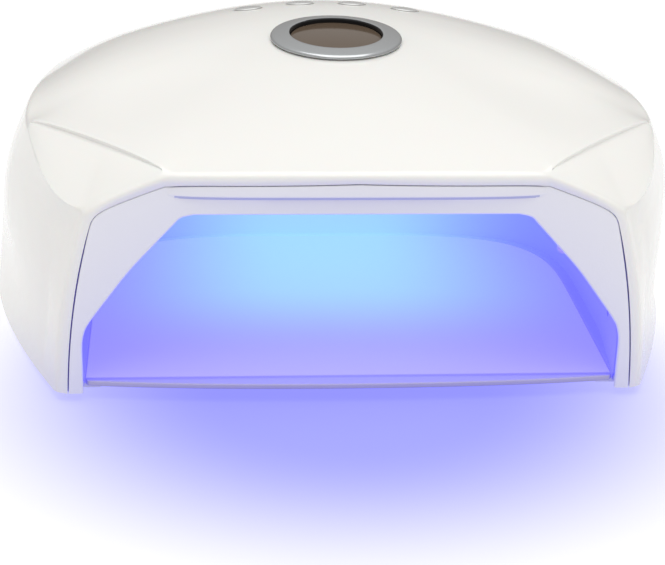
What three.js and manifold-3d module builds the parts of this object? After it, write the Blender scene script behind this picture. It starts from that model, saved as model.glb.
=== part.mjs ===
// A desktop UV LED nail lamp: a glossy domed shell over a white light chamber, with a timer
// display, four push buttons and a pull-out tray. Millimetres, +Z up, hand opening at -Y.
import * as THREE from 'three';
import { mergeVertices } from 'three/addons/utils/BufferGeometryUtils.js';
import Module from 'manifold-3d';

const wasm = await Module();
wasm.setup();

// ---------------------------------------------------------------- driving dimensions
const WALL = 2.2;             // moulded shell wall
const LINER_WALL = 1.8;       // moulded chamber wall
const GAP = 0.35;             // clearance between neighbouring pieces
const BASE_Z = 2.6;           // lower edge of the shell and base plate, above the rubber feet
const HALF_W = 117;           // widest half width, at the foot of the shell
const HALF_D = 104;           // hood lip and the fullest part of the rear, from the origin
const REAR_FOOT_Y = 104;      // foot of the rear face
const WIDE_Y = 12;            // where the shell is widest
const FRONT_Y = -101;         // flat face of the front frame
const APEX = { y: 20, z: 92.2 };
const ROOF_R = { front: 415, rear: 295, side: 330 };  // radii of the roof's arches
const ROOF_NOSE = { from: -108, to: -35, crown: 0.08 };  // the side-to-side arch flattens at the hood
const ROOF_EDGE = { from: 70, fall: 260 };            // beyond this half width the roof falls faster
const PLATE_T = 1.5;          // base plate
const TRAY_T = 1.8;           // pull-out tray
const TRAY_HALF_W = 81.4;
const DECK_Z = BASE_Z + PLATE_T + GAP;                // underside of tray and chamber wall
const CEILING_Z = 60;         // chamber ceiling
const CONTROL_Z = 76.5;       // underside of the control board
const BOARD_T = 1.6;
const RING = { y: -12, outer: 22.1, inner: 15.5, tilt: 0.068 };
const BUTTONS = [[-28, 29.5], [-9.3, 33.5], [9.3, 33.5], [28, 29.5]];  // seen from above
const POSTS = [[92.5, -50], [88, 34], [56, 68]];      // shell screw posts, mirrored left and right
const BOARD_POSTS = [[33, -27], [33, 44]];            // control board posts, mirrored
const DRIVER_POSTS = [[34, 50], [34, 74]];            // driver board standoffs, mirrored
const FEET = [[90.8, -72], [72, 66]];                 // rubber feet, mirrored left and right
const JACK = { x: 34, z: 17 };                        // low-voltage inlet in the rear face
const SENSOR = { y: -78, z: 20 };                     // hand sensor pair in the chamber sides
const MAGNETS = [-30, 30];                            // tray catches, x positions
const CATCH_Y = 20.8;                                 // tray catches, distance towards the back

const v3 = (x, y, z) => new THREE.Vector3(x, y, z);
const { lerp, smoothstep: smooth } = THREE.MathUtils;

// ---------------------------------------------------------------- materials
const paint = (name, color, roughness, metalness = 0) =>
  new THREE.MeshStandardMaterial({ name, color, roughness, metalness });
const MAT = {
  shell: paint('gloss_white', 0xf3f2ee, 0.18),
  liner: paint('chamber_white', 0xe9e8f4, 0.35),
  tray: paint('tray_white', 0xefeff6, 0.3),
  chrome: paint('chrome', 0xd9dadc, 0.08, 1),
  lens: paint('smoked_lens', 0x5c554d, 0.1),
  button: paint('silver_button', 0xa9abae, 0.3, 0.6),
  board: paint('board_green', 0x1d5a3a, 0.5),
  alu: paint('board_white', 0xd6d8d8, 0.4, 0.3),
  black: paint('black_plastic', 0x1a1a1c, 0.5),
  rubber: paint('grey_rubber', 0x8c8c8c, 0.85),
  steel: paint('steel', 0xb4b6b8, 0.3, 1),
  wire: paint('wire_red', 0xa22a25, 0.55),
};

// ---------------------------------------------------------------- solids
function toSolid(geometry) {
  const bare = geometry.clone();
  bare.deleteAttribute('normal');
  bare.deleteAttribute('uv');
  const merged = mergeVertices(bare, 1e-3);
  const vertProperties = new Float32Array(merged.attributes.position.array);
  const triVerts = new Uint32Array(merged.index.array);
  return new wasm.Manifold(new wasm.Mesh({ numProp: 3, vertProperties, triVerts }));
}
function toGeometry(solid) {
  const mesh = solid.getMesh();
  const geometry = new THREE.BufferGeometry();
  geometry.setAttribute('position', new THREE.BufferAttribute(mesh.vertProperties, 3));
  geometry.setIndex(new THREE.BufferAttribute(mesh.triVerts, 1));
  return geometry;
}
const union = (...geometries) => geometries.map(toSolid).reduce((a, b) => a.add(b));
const cut = (solid, geometries) => geometries.map(toSolid).reduce((a, b) => a.subtract(b), solid);

const box = (w, d, h, x = 0, y = 0, z = 0) =>
  new THREE.BoxGeometry(w, d, h).translate(x, y, z + h / 2);
const rod = (r, h, x = 0, y = 0, z = 0, sides = 16) =>
  new THREE.CylinderGeometry(r, r, h, sides).rotateX(Math.PI / 2).translate(x, y, z + h / 2);
const turned = (profile, sides = 24) =>
  new THREE.LatheGeometry(profile.map(([r, z]) => new THREE.Vector2(r, z)), sides).rotateX(Math.PI / 2);
const prism = (shape, h, z, curveSegments = 8) =>
  new THREE.ExtrudeGeometry(shape, { depth: h, bevelEnabled: false, curveSegments }).translate(0, 0, z);

function piece(name, geometry, material) {
  const mesh = new THREE.Mesh(geometry, material);
  mesh.name = name;
  return mesh;
}

// A skin is a list of triangles between shared points. It is mirrored about X = 0 and thickened
// inwards into one closed solid.
class Skin {
  triangles = [];
  addGrid(rows, inside) {
    const made = [];
    for (let i = 0; i + 1 < rows.length; i++) {
      for (let j = 0; j + 1 < rows[i].length; j++) {
        const [a, b, c, d] = [rows[i][j], rows[i][j + 1], rows[i + 1][j + 1], rows[i + 1][j]];
        made.push([a, b, c], [a, c, d]);
      }
    }
    const facing = made.reduce((sum, [a, b, c]) => {
      const normal = b.clone().sub(a).cross(c.clone().sub(a));
      return sum + normal.dot(a.clone().sub(inside));
    }, 0);
    this.triangles.push(...(facing > 0 ? made : made.map(([a, b, c]) => [a, c, b])));
  }
  mirrored() {
    const flip = (p) => v3(-p.x, p.y, p.z);
    return [...this.triangles, ...this.triangles.map(([a, b, c]) => [flip(a), flip(c), flip(b)])];
  }
  indexed() {
    const points = [];
    const seen = new Map();
    const id = (p) => {
      const key = [p.x, p.y, p.z].map((c) => Math.round(c * 100)).join();
      if (!seen.has(key)) seen.set(key, points.push(p.clone()) - 1);
      return seen.get(key);
    };
    const faces = this.mirrored().map((t) => t.map(id))
      .filter(([a, b, c]) => a !== b && b !== c && c !== a);
    return { points, faces };
  }
  // a negative thickness grows the wall outwards instead
  thickened(thickness, levelZ) {
    const { points, faces } = this.indexed();
    const normals = points.map(() => v3(0, 0, 0));
    for (const [a, b, c] of faces) {
      const normal = points[b].clone().sub(points[a]).cross(points[c].clone().sub(points[a]));
      for (const i of [a, b, c]) normals[i].add(normal);
    }
    const inner = points.map((p, i) => {
      const q = p.clone().addScaledVector(normals[i].normalize(), -thickness);
      if (Math.abs(p.z - levelZ) < 0.01) q.z = levelZ;
      return q;
    });
    const n = points.length;
    const all = [...faces, ...faces.map(([a, b, c]) => [a + n, c + n, b + n])];
    const edges = new Set(faces.flatMap(([a, b, c]) => [`${a},${b}`, `${b},${c}`, `${c},${a}`]));
    for (const edge of edges) {
      const [a, b] = edge.split(',').map(Number);
      if (!edges.has(`${b},${a}`)) all.push([b, a, a + n], [b, a + n, b + n]);
    }
    const geometry = new THREE.BufferGeometry();
    geometry.setAttribute('position', new THREE.Float32BufferAttribute(
      [...points, ...inner].flatMap((p) => p.toArray()), 3));
    geometry.setIndex((thickness > 0 ? all : all.map(([a, b, c]) => [a, c, b])).flat());
    return geometry;
  }
}

const samples = (curve, n) => Array.from({ length: n + 1 }, (_, i) => curve.getPoint(i / n));
const joined = (...runs) => runs.flatMap((run, i) => (i ? run.slice(1) : run));
const bezier = (...points) => new THREE.CubicBezierCurve3(...points);
const reversed = (list) => [...list].reverse();
const blend = (a, b, t) => a.clone().lerp(b, t);

// ---------------------------------------------------------------- shell surface
function roofZ(x, y) {
  const along = y < APEX.y ? ROOF_R.front : ROOF_R.rear;
  const across = lerp(ROOF_NOSE.crown, 1, smooth(y, ROOF_NOSE.from, ROOF_NOSE.to));
  const edge = Math.max(0, Math.abs(x) - ROOF_EDGE.from);
  const fall = x * x / (2 * ROOF_R.side) + edge * edge / ROOF_EDGE.fall;
  return APEX.z - (y - APEX.y) ** 2 / (2 * along) - across * fall;
}

const TIP = v3(91, -98.5, BASE_Z);                    // front corner of the shell's foot
const CORNER = v3(81.3, -98.5, 61.5);                 // top of the front corner
const CREASE_SIDE = v3(98.5, -48, 72.6);
const CREASE_FRONT = v3(56, -101.2, 73.2);
const SIDE_TOP = v3(96, 16, 73);
const REAR_TOP = v3(0, 87, 70);
const STEP = 1.2;                                     // the roof stands this proud of the cheek
const N = { ridge: 4, side: 4, rear: 7, flank: 6, lipFront: 3, brow: 4, strip: 2, roof: 5 };

const footSide = bezier(TIP, v3(104.5, -66, BASE_Z), v3(HALF_W, WIDE_Y - 40, BASE_Z),
  v3(HALF_W, WIDE_Y, BASE_Z));
const footRear = bezier(v3(HALF_W, WIDE_Y, BASE_Z), v3(HALF_W, 68, BASE_Z), v3(66, REAR_FOOT_Y, BASE_Z),
  v3(0, REAR_FOOT_Y, BASE_Z));
const rimRidge = bezier(CORNER, v3(90, -93, 60.5), v3(95.5, -76, 68), CREASE_SIDE);
const rimSide = bezier(CREASE_SIDE, v3(100, -30, 74), v3(98.5, -8, 74), SIDE_TOP);
const rimRear = bezier(SIDE_TOP, v3(91, 52, 71.5), v3(50, 87, 70), REAR_TOP);

const foot = joined(samples(footSide, N.ridge + N.side), samples(footRear, N.rear));
const rim = joined(samples(rimRidge, N.ridge), samples(rimSide, N.side), samples(rimRear, N.rear));

// parting line between shell and front frame, from the foot to the middle of the hood
const partingSide = bezier(v3(86.8, FRONT_Y, BASE_Z), v3(86.3, FRONT_Y, 22), v3(83.6, FRONT_Y, 41),
  v3(78.8, FRONT_Y, 57));
const partingTurn = bezier(v3(78.8, FRONT_Y, 57), v3(77.6, FRONT_Y, 61), v3(75, FRONT_Y, 62.2),
  v3(57, FRONT_Y, 69));
const partingBrow = bezier(v3(57, FRONT_Y, 69), v3(49, -103.6, 70.6), v3(34, -103.6, 69.6),
  v3(0, -HALF_D + 0.4, 70.6));
const parting = joined(samples(partingSide, N.flank), samples(partingTurn, N.lipFront),
  samples(partingBrow, N.brow));

// outer edge of the lip beside the parting line
const lipSide = bezier(TIP, v3(90.6, -98.5, 22), v3(88, -98.5, 41), CORNER);
const lipFront = bezier(CORNER, v3(75, -99.5, 65.5), v3(66, -100.8, 69.5), CREASE_FRONT);
const lipBrow = samples(bezier(CREASE_FRONT, v3(49, -102.6, 74), v3(34, -102.6, 74), v3(0, -103, 74)),
  N.brow);
const lip = joined(samples(lipSide, N.flank), samples(lipFront, N.lipFront), lipBrow);

// The flank is full under the rim and, towards the front, hollow above the foot.
function flankColumn(i) {
  if (i === 0) return samples(lipSide, N.flank);
  const s = i / (foot.length - 1);
  const out = rim[i].clone().sub(foot[i]).setZ(0).normalize().negate();
  const belly = 4.4 * smooth(s, 0, 0.22);
  const skew = lerp(2, 1.2, smooth(s, 0.25, 0.5));
  const hollow = 1.2 * smooth(s, 0, 0.12) * (1 - smooth(s, 0.3, 0.5));
  return Array.from({ length: N.flank + 1 }, (_, j) => {
    const v = j / N.flank;
    return blend(foot[i], rim[i], v).addScaledVector(out,
      belly * Math.sin(Math.PI * v ** skew) - hollow * Math.sin(2 * Math.PI * Math.min(v, 0.5)));
  });
}

function stripRows() {
  return Array.from({ length: N.strip + 1 }, (_, k) => parting.map((p, j) => {
    const t = k / N.strip;
    const q = blend(p, lip[j], t);
    const round = Math.sin(Math.PI * t) * 0.9;
    return k % N.strip ? q.add(v3(round * 0.5 * Math.min(1, p.x / 60), -round, round * 0.4)) : q;
  }));
}

// the cheek: a nearly flat facet between the crease, the front lip and the ridge
function creaseLine(n, lift) {
  return Array.from({ length: n + 1 }, (_, i) => {
    const t = i / n;
    const p = blend(CREASE_FRONT, CREASE_SIDE, t);
    const fade = Math.sin(Math.PI * t) ** 0.5;
    return p.add(v3(0.3 * lift * fade, 0, 1.6 * fade + lift * fade));
  });
}
function cheekRows() {
  const outer = joined(reversed(samples(lipFront, N.lipFront)), samples(rimRidge, N.ridge));
  const crease = creaseLine(outer.length - 1, 0);
  return [0, 1 / 3, 2 / 3, 1].map((t) => crease.map((p, i) => {
    const q = blend(p, outer[i], t);
    if (t > 0 && t < 1) q.z += 1.1 * Math.sin(Math.PI * t) * Math.sin(Math.PI * i / crease.length);
    return q;
  }));
}

function roofRows() {
  const n = N.lipFront + N.ridge;
  const upper = creaseLine(n, STEP);
  const edge = joined(reversed(lipBrow), upper, samples(rimSide, N.side), samples(rimRear, N.rear));
  const centre = v3(0, APEX.y, APEX.z);
  return Array.from({ length: N.roof + 1 }, (_, k) => edge.map((p) => {
    const t = (k / N.roof) ** 1.6;
    const x = lerp(p.x, centre.x, t);
    const y = lerp(p.y, centre.y, t);
    const settle = (1 - t) ** 6 * (p.z - roofZ(p.x, p.y));
    return v3(x, y, roofZ(x, y) + settle);
  }));
}

function shellSkin() {
  const inside = v3(0, 0, 30);
  const skin = new Skin();
  skin.addGrid(foot.map((_, i) => flankColumn(i)), inside);
  skin.addGrid(stripRows(), v3(0, 60, 30));
  skin.addGrid(cheekRows(), inside);
  const n = N.lipFront + N.ridge;
  skin.addGrid([creaseLine(n, 0), creaseLine(n, STEP)], inside);
  skin.addGrid(roofRows(), inside);
  return skin;
}

// the same place on the right and on the left
const both = ([x, y]) => [[x, y, 'right'], [-x, y, 'left']];
const pathShape = (points) => new THREE.Shape(points.map(([x, y]) => new THREE.Vector2(x, y)));
const mirrorPath = (half) => [...half, ...reversed(half).map(([x, y]) => [-x, y])];

// a prism whose outline is drawn in the front view (x, z), from y0 to y1
function frontPrism(outline, y0, y1) {
  return prism(pathShape(outline), y1 - y0, 0).rotateX(Math.PI / 2).translate(0, y1, 0);
}

// ---------------------------------------------------------------- light chamber
// right half of the hand opening, from floor to ceiling, and how far back each height reaches
const SECTION = [
  { w: 82, z: DECK_Z, back: 27 },
  { w: 82, z: 18, back: 24 },
  { w: 81.3, z: 22.3, back: 22 },
  { w: 79.5, z: 26, back: 20 },
  { w: 67.6, z: 42.2, back: 11 },
  { w: 54.6, z: 56.6, back: 2 },
  { w: 52.2, z: 59, back: -2 },
  { w: 48.5, z: CEILING_Z, back: -7 },
];
const CORNER_Y = -40;                                 // the side walls start to turn in here
const BULGE = 3;                                      // the chamber widens behind the front frame
function roundedBack(w, back, steps = 7) {
  return Array.from({ length: steps + 1 }, (_, i) => {
    const angle = (i / steps) * Math.PI / 2;
    const cosine = i === steps ? 0 : Math.cos(angle);
    return [w * cosine ** 0.5, CORNER_Y + (back - CORNER_Y) * Math.sin(angle) ** 0.5];
  });
}
function chamberRow({ w, z, back }) {
  const low = 1 - smooth(z, 20, 34);
  const straight = [[FRONT_Y + 1, 0], [-82, 0.6], [-62, 0.95]].map(([y, t]) => v3(w + BULGE * low * t, y, z));
  return [...straight, ...roundedBack(w + BULGE * low, back).map(([x, y]) => v3(x, y, z))];
}
function linerSkin() {
  const rows = SECTION.map(chamberRow);
  const ceiling = rows[rows.length - 1];
  rows.push(ceiling.map((p) => v3(p.x / 2, p.y, p.z)), ceiling.map((p) => v3(0, p.y, p.z)));
  const skin = new Skin();
  skin.addGrid(rows, v3(0, -50, 25));
  return skin;
}

const trayEdge = (grow) => [[TRAY_HALF_W + grow, FRONT_Y + 1.2],
  ...roundedBack(TRAY_HALF_W + grow, 25 + grow)];

// rails beside the tray close the chamber's floor out to its walls
function floorRails() {
  const wall = chamberRow({ ...SECTION[0], w: SECTION[0].w + 0.9, back: SECTION[0].back + 0.9 });
  const edge = trayEdge(0.4);
  const outline = [...wall.map((p) => [p.x, p.y]), ...reversed(edge)];
  const halves = [1, -1].map((side) => outline.map(([x, y]) => [side * x, y]));
  return halves.map((half) => prism(pathShape(half), TRAY_T - 0.1, DECK_Z));
}

// the flat front frame, its hand opening and the brow under the hood
const frameEdge = (inset) => parting.map((p) => [p.x - inset * Math.min(1, p.x / 10), p.z - inset]);
function framePlate() {
  const outer = frameEdge(GAP);
  outer[0][1] = BASE_Z;
  const opening = [[SECTION[0].w, BASE_Z], ...SECTION.slice(1).map(({ w, z }) => [w, z])];
  return frontPrism([...mirrorPath(outer), ...reversed(mirrorPath(opening))], FRONT_Y, FRONT_Y + 2);
}
function browLedge() {
  const front = samples(partingBrow, N.brow).map((p) => [p.x - GAP * Math.min(1, p.x / 10), p.y + 0.1]);
  return prism(pathShape([...mirrorPath(front), [-56, FRONT_Y + 1], [56, FRONT_Y + 1]]), 3.1, 65.4);
}

// light boards stand a little off the chamber wall; their local -Z looks into the chamber
const LED = { r: 2.5, length: 5.2 };
const LIGHT_BOARDS = [
  { name: 'ceiling_led_board', size: [84, 66], at: [0, -56, CEILING_Z + 2.3], turn: [0, 0, 0],
    leds: [-33, -11, 11, 33].flatMap((x) => [-24, 0, 24].map((y) => [x, y])) },
  { name: 'right_led_board', size: [22, 64], at: [69.7, -58, 43.6], turn: [0, 0.887, 0],
    leds: [-22, 0, 22].map((y) => [0, y]) },
  { name: 'left_led_board', size: [22, 64], at: [-69.7, -58, 43.6], turn: [0, -0.887, 0],
    leds: [-22, 0, 22].map((y) => [0, y]) },
  { name: 'rear_led_board', size: [62, 20], at: [0, 13.6, 43.6], turn: [-1.02, 0, 0],
    leds: [-22, 0, 22].map((x) => [x, 0]) },
];
function placed(object, { at, turn }) {
  object.position.set(...at);
  object.rotation.set(...turn);
  object.updateMatrixWorld();
  return object;
}
function ledBoard({ size, leds }) {
  const bulb = [[0, -LED.length], [1.3, -LED.length + 0.35], [2.2, -LED.length + 1.2],
    [LED.r, -LED.length + 2.4], [LED.r, 0.5], [0, 0.5]];
  const bulbs = leds.map(([x, y]) => turned(bulb, 8).translate(x, y, 0));
  return toGeometry(union(box(...size, BOARD_T), ...bulbs));
}
function ledHoles() {
  return LIGHT_BOARDS.flatMap((board) => board.leds.map(([x, y]) => {
    const frame = placed(new THREE.Object3D(), board);
    return rod(LED.r + 0.5, 9, x, y, -7, 10).applyMatrix4(frame.matrixWorld);
  }));
}
const acrossRod = (r, length, x, y, z) =>
  new THREE.CylinderGeometry(r, r, length, 12).rotateZ(Math.PI / 2).translate(x, y, z);

function innerLiner() {
  const chamber = linerSkin().thickened(-LINER_WALL, DECK_Z);
  const sensorHoles = [-1, 1].map((side) => acrossRod(2.9, 10, side * 84.5, SENSOR.y, SENSOR.z));
  const body = union(chamber, framePlate(), browLedge(), ...floorRails());
  return toGeometry(cut(body, [...ledHoles(), ...sensorHoles]));
}
function sensor(side) {
  const bulb = [[0, 0], [1.4, 0.3], [2.2, 1.1], [2.5, 2.3], [2.5, 5], [2.9, 5], [2.9, 6], [0, 6]];
  const body = turned(bulb, 14).rotateY(side * Math.PI / 2).translate(side * 84, 0, 0);
  return toGeometry(union(body, box(1.4, 9, 12, side * 90.5, 0, -6))).translate(0, SENSOR.y, SENSOR.z);
}

// ---------------------------------------------------------------- shell
const skinMesh = new THREE.Mesh(shellSkin().thickened(WALL, BASE_Z));
skinMesh.material.side = THREE.DoubleSide;
function firstHit(from, direction) {
  return new THREE.Raycaster(from, direction).intersectObject(skinMesh)[0].point;
}
const roofAt = (x, y) => firstHit(v3(x, y, 200), v3(0, 0, -1)).z;
const rearAt = (x, z) => firstHit(v3(x, 300, z), v3(0, -1, 0)).y;

function post(x, y, fromZ, r, bore, boreDepth) {
  const around = [[r, 0], [-r, 0], [0, r], [0, -r]].map(([dx, dy]) => roofAt(x + dx, y + dy));
  const height = Math.min(...around) - 0.4 - fromZ;
  return { solid: rod(r, height, x, y, fromZ, 12), hole: rod(bore, boreDepth, x, y, fromZ - 1, 12) };
}
function topShell() {
  const posts = [
    ...POSTS.flatMap(both).map(([x, y]) => post(x, y, DECK_Z, 3.7, 1.85, 13)),
    ...BOARD_POSTS.flatMap(both).map(([x, y]) => post(x, y, CONTROL_Z + BOARD_T + GAP, 2.8, 1.35, 7)),
  ];
  const body = union(skinMesh.geometry, ...posts.map(({ solid }) => solid));
  const frameSeat = mirrorPath([[parting[0].x, 0], ...frameEdge(0).slice(1)]);
  return toGeometry(cut(body, [
    ...posts.map(({ hole }) => hole),
    ...BUTTONS.map(([x, y]) => rod(3.6, 20, 0, 0, 0, 24).scale(1.47, 1, 1).translate(x, y, 80)),
    rod(RING.inner + 2.1, 20, 0, RING.y, 78, 36),
    new THREE.CylinderGeometry(4.6, 4.6, 30, 20).translate(JACK.x, 95, JACK.z),
    frontPrism(frameSeat, FRONT_Y - 0.5, FRONT_Y + 2 + GAP),
  ]));
}

// ---------------------------------------------------------------- base plate and tray
function insetFoot(inset) {
  const last = foot.length - 1;
  const right = foot.map((p, i) => {
    const along = foot[Math.min(i + 1, last)].clone().sub(foot[Math.max(i - 1, 0)]).normalize();
    return [p.x - inset * along.y, p.y + inset * along.x];
  });
  right[last] = [0, REAR_FOOT_Y - inset];
  return right;
}
function basePlate() {
  const outline = prism(pathShape(mirrorPath(insetFoot(WALL + 0.5))), PLATE_T, BASE_Z);
  const window = [[77, -120], [77, CORNER_Y], ...roundedBack(77, 18).slice(1)];
  const standoffs = DRIVER_POSTS.flatMap(both).map(([x, y]) => rod(3, 6, x, y, BASE_Z + 1, 12));
  const vents = [-1, 1].flatMap((side) => [0, 1, 2, 3, 4].map((i) =>
    box(2.4, 22, 9, side * (46 + i * 5.5), 42, 0)));
  return toGeometry(cut(union(outline, ...standoffs), [
    prism(pathShape(mirrorPath(window)), 9, 0),
    box(220, 20, 9, 0, -106.5, 0),
    ...vents,
    ...POSTS.flatMap(both).map(([x, y]) => rod(1.85, 9, x, y, 0, 12)),
    ...DRIVER_POSTS.flatMap(both).map(([x, y]) => rod(1.2, 9, x, y, BASE_Z + 2.5, 12)),
    ...FEET.flatMap(both).map(([x, y]) => rod(2.3, 9, x, y, 0, 12)),
    ...MAGNETS.map((x) => rod(3.35, 9, x, CATCH_Y, BASE_Z + 0.5, 16)),
  ]));
}
function tray() {
  const lipCurve = samples(bezier(v3(TRAY_HALF_W - 1, -99.6, 0), v3(60, -102.5, 0),
    v3(30, -HALF_D + 0.2, 0), v3(0, -HALF_D + 0.2, 0)), 8).map((p) => [p.x, p.y]);
  const outline = mirrorPath([...reversed(lipCurve), [TRAY_HALF_W, -98.6], ...trayEdge(0).slice(1)]);
  const plate = toSolid(prism(pathShape(outline.slice(0, -1)), TRAY_T, DECK_Z));
  return toGeometry(cut(plate, MAGNETS.map((x) => rod(3.35, 2.1, x, CATCH_Y, DECK_Z - 1, 16))));
}
function footPad([x, y]) {
  const under = BASE_Z - GAP;
  const profile = [[0, 0], [5.4, 0], [6, 0.5], [6, under - 0.4], [5.7, under], [1.9, under],
    [1.9, under + 2.6], [1.5, under + 3], [0, under + 3]];
  return turned(profile, 12).translate(x, y, 0);
}
// a pan head screw pointing up, the underside of its head at the origin
function screw(r, length, headR, headH) {
  const profile = [[0, -headH], [headR * 0.8, -headH], [headR, -headH * 0.4], [headR, 0], [r, 0],
    [r, length], [0, length]];
  const bottom = -headH - 0.01;
  const cross = [box(headR * 1.1, 0.7, 0.7, 0, 0, bottom), box(0.7, headR * 1.1, 0.7, 0, 0, bottom)];
  return toGeometry(cut(toSolid(turned(profile, 8)), cross));
}

// ---------------------------------------------------------------- timer display and buttons
const ringFrame = new THREE.Group();
ringFrame.position.set(0, RING.y, roofZ(0, RING.y));
ringFrame.rotation.x = RING.tilt;
function bezel() {
  const { outer, inner } = RING;
  return turned([[outer, -0.35], [outer, 0.25], [outer - 0.5, 0.8], [outer - 1.4, 1.05],
    [inner + 1.2, 1.75], [inner + 0.3, 1.7], [inner, 1.3], [inner, -0.75], [inner + 0.9, -0.75],
    [inner + 0.9, -3.6], [inner + 1.8, -3.6], [inner + 1.8, -0.1], [outer, -0.35]], 32);
}
const lens = () => turned([[0, -2.5], [15.8, -2.5], [16.1, -2.2], [16.1, -1.05], [0, -1.05]], 32);
const BOARD_TOP = CONTROL_Z + BOARD_T;
const displayModule = () => toGeometry(union(
  box(25, 14, 7.6, 0, RING.y, BOARD_TOP + GAP),
  box(21, 9, 0.5, 0, RING.y, BOARD_TOP + GAP + 7.4)));

const SWITCH_H = 3.5;         // height of a switch body on the board
const PLUNGER_H = 0.75;       // how far a switch's plunger stands out of it

// the cap's crown and flange follow the roof's slope at (x, y); a stem reaches down to the switch
function buttonCap(x, y) {
  const reach = 4;            // the slope is measured this far to each side
  const slopeX = (roofAt(x + reach, y) - roofAt(x - reach, y)) / (2 * reach);
  const slopeY = (roofAt(x, y + reach) - roofAt(x, y - reach)) / (2 * reach);
  const stem = BOARD_TOP + SWITCH_H + PLUNGER_H + 0.05 - roofAt(x, y);
  const oval = [[0, stem], [1.6, stem], [1.6, -5], [4, -5], [4, -3.2], [3.2, -3.2], [3.2, 0.4],
    [2.9, 0.9], [2, 1.2], [0, 1.3]];
  const geometry = turned(oval, 20).scale(1.5, 1, 1);
  const { position } = geometry.attributes;
  for (let i = 0; i < position.count; i++) {
    const z = position.getZ(i);
    if (z > -4) position.setZ(i, z + slopeX * position.getX(i) + slopeY * position.getY(i));
  }
  return geometry;
}
const plunger = () => turned([[0, -1.4], [1.2, -1.4], [1.2, PLUNGER_H - 0.15], [0.9, PLUNGER_H],
  [0, PLUNGER_H]], 8);
function controlBoard() {
  const low = BOARD_TOP - 0.2;
  const board = pathShape([[-38, -32], [38, -32], [38, 48], [34, 52], [-34, 52], [-38, 48]]);
  return toGeometry(cut(union(
    prism(board, BOARD_T, CONTROL_Z),
    ...BUTTONS.map(([x, y]) => box(6, 6, SWITCH_H + 0.2, x, y, low)),
    box(10, 10, 1.4, -12, 20, low),
    box(12, 5, 6, 22, 14, low),
    box(5, 3, 1.4, -24, 12, low),
    box(5, 3, 1.4, 0, 44, low)), [
    ...BUTTONS.map(([x, y]) => rod(1.6, 9, x, y, BOARD_TOP + 0.8, 12)),
    ...BOARD_POSTS.flatMap(both).map(([x, y]) => rod(1.5, 9, x, y, CONTROL_Z - 3, 12)),
  ]));
}

// ---------------------------------------------------------------- power
const DRIVER_Z = BASE_Z + 7 + GAP;                    // underside of the driver board
function driverBoard() {
  const low = DRIVER_Z + BOARD_T - 0.2;
  return toGeometry(cut(union(
    box(82, 34, BOARD_T, 0, 62, DRIVER_Z),
    rod(5, 12, -22, 58, low, 16),
    rod(5, 12, -9, 58, low, 16),
    rod(6.5, 8, 8, 62, low, 16),
    box(12, 12, 7, 24, 60, low),
    box(9, 9, 1.6, -15, 72, low),
    box(14, 5.5, 7, 8, 74, low),
    box(14, 5.5, 7, -4, 49, low)),
  DRIVER_POSTS.flatMap(both).map(([x, y]) => rod(1.5, 9, x, y, DRIVER_Z - 3, 12))));
}
const alongRod = (r, y0, y1, sides = 20) =>
  new THREE.CylinderGeometry(r, r, y1 - y0, sides).translate(0, (y0 + y1) / 2, 0);
function inletJack() {
  const face = rearAt(JACK.x, JACK.z) - 1.2;
  const body = union(alongRod(4.2, face - 12, face), box(11, 9, 11, 0, face - 11.5, -5.5));
  const bored = cut(body, [alongRod(2.75, face - 9, face + 1)]);
  return toGeometry(bored.add(toSolid(alongRod(1, face - 10, face - 1, 12)))).translate(JACK.x, 0, JACK.z);
}
function wire(points, r = 1.1, steps = 24) {
  const path = new THREE.CatmullRomCurve3(points.map((p) => v3(...p)));
  const section = new THREE.Shape().absarc(0, 0, r, 0, Math.PI * 2);
  return new THREE.ExtrudeGeometry(section, { steps, curveSegments: 4, extrudePath: path });
}

// ---------------------------------------------------------------- assembly
const group = new THREE.Group();
function add(name, geometry, material, at = [0, 0, 0]) {
  const mesh = piece(name, geometry, material);
  mesh.position.set(...at);
  group.add(mesh);
}

add('top_shell', topShell(), MAT.shell);
add('inner_liner', innerLiner(), MAT.liner);
add('base_plate', basePlate(), MAT.liner);
add('tray', tray(), MAT.tray);
ringFrame.add(piece('display_bezel', bezel(), MAT.chrome), piece('display_window', lens(), MAT.lens));
group.add(ringFrame);
add('display_module', displayModule(), MAT.black);
add('control_board', controlBoard(), MAT.board);
BUTTONS.forEach(([x, y], i) => {
  add(`button_${i + 1}`, buttonCap(x, y), MAT.button, [x, y, roofAt(x, y)]);
  add(`switch_plunger_${i + 1}`, plunger(), MAT.black, [x, y, BOARD_TOP + SWITCH_H]);
});
for (const board of LIGHT_BOARDS) group.add(placed(piece(board.name, ledBoard(board), MAT.alu), board));
add('sensor_emitter', sensor(-1), MAT.black);
add('sensor_receiver', sensor(1), MAT.black);
add('driver_board', driverBoard(), MAT.board);
add('dc_inlet', inletJack(), MAT.black);
MAGNETS.forEach((x, i) => {
  add(`tray_magnet_${i + 1}`, rod(3, 0.9, x, CATCH_Y, BASE_Z + 0.55, 16), MAT.steel);
  add(`tray_strike_${i + 1}`, rod(3, 0.7, x, CATCH_Y, DECK_Z + 0.05, 16), MAT.steel);
});
FEET.flatMap(both).forEach(([x, y, side]) =>
  add(`foot_${y < 0 ? 'front' : 'rear'}_${side}`, footPad([x, y]), MAT.rubber));
POSTS.flatMap(both).forEach(([x, y, side], i) =>
  add(`base_screw_${(i >> 1) + 1}_${side}`, screw(1.45, 11, 2.8, 1.2), MAT.steel, [x, y, BASE_Z - GAP]));
DRIVER_POSTS.flatMap(both).forEach(([x, y, side], i) =>
  add(`driver_screw_${(i >> 1) + 1}_${side}`, screw(0.8, 5, 2, 1).rotateX(Math.PI), MAT.steel,
    [x, y, DRIVER_Z + BOARD_T + GAP]));
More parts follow.
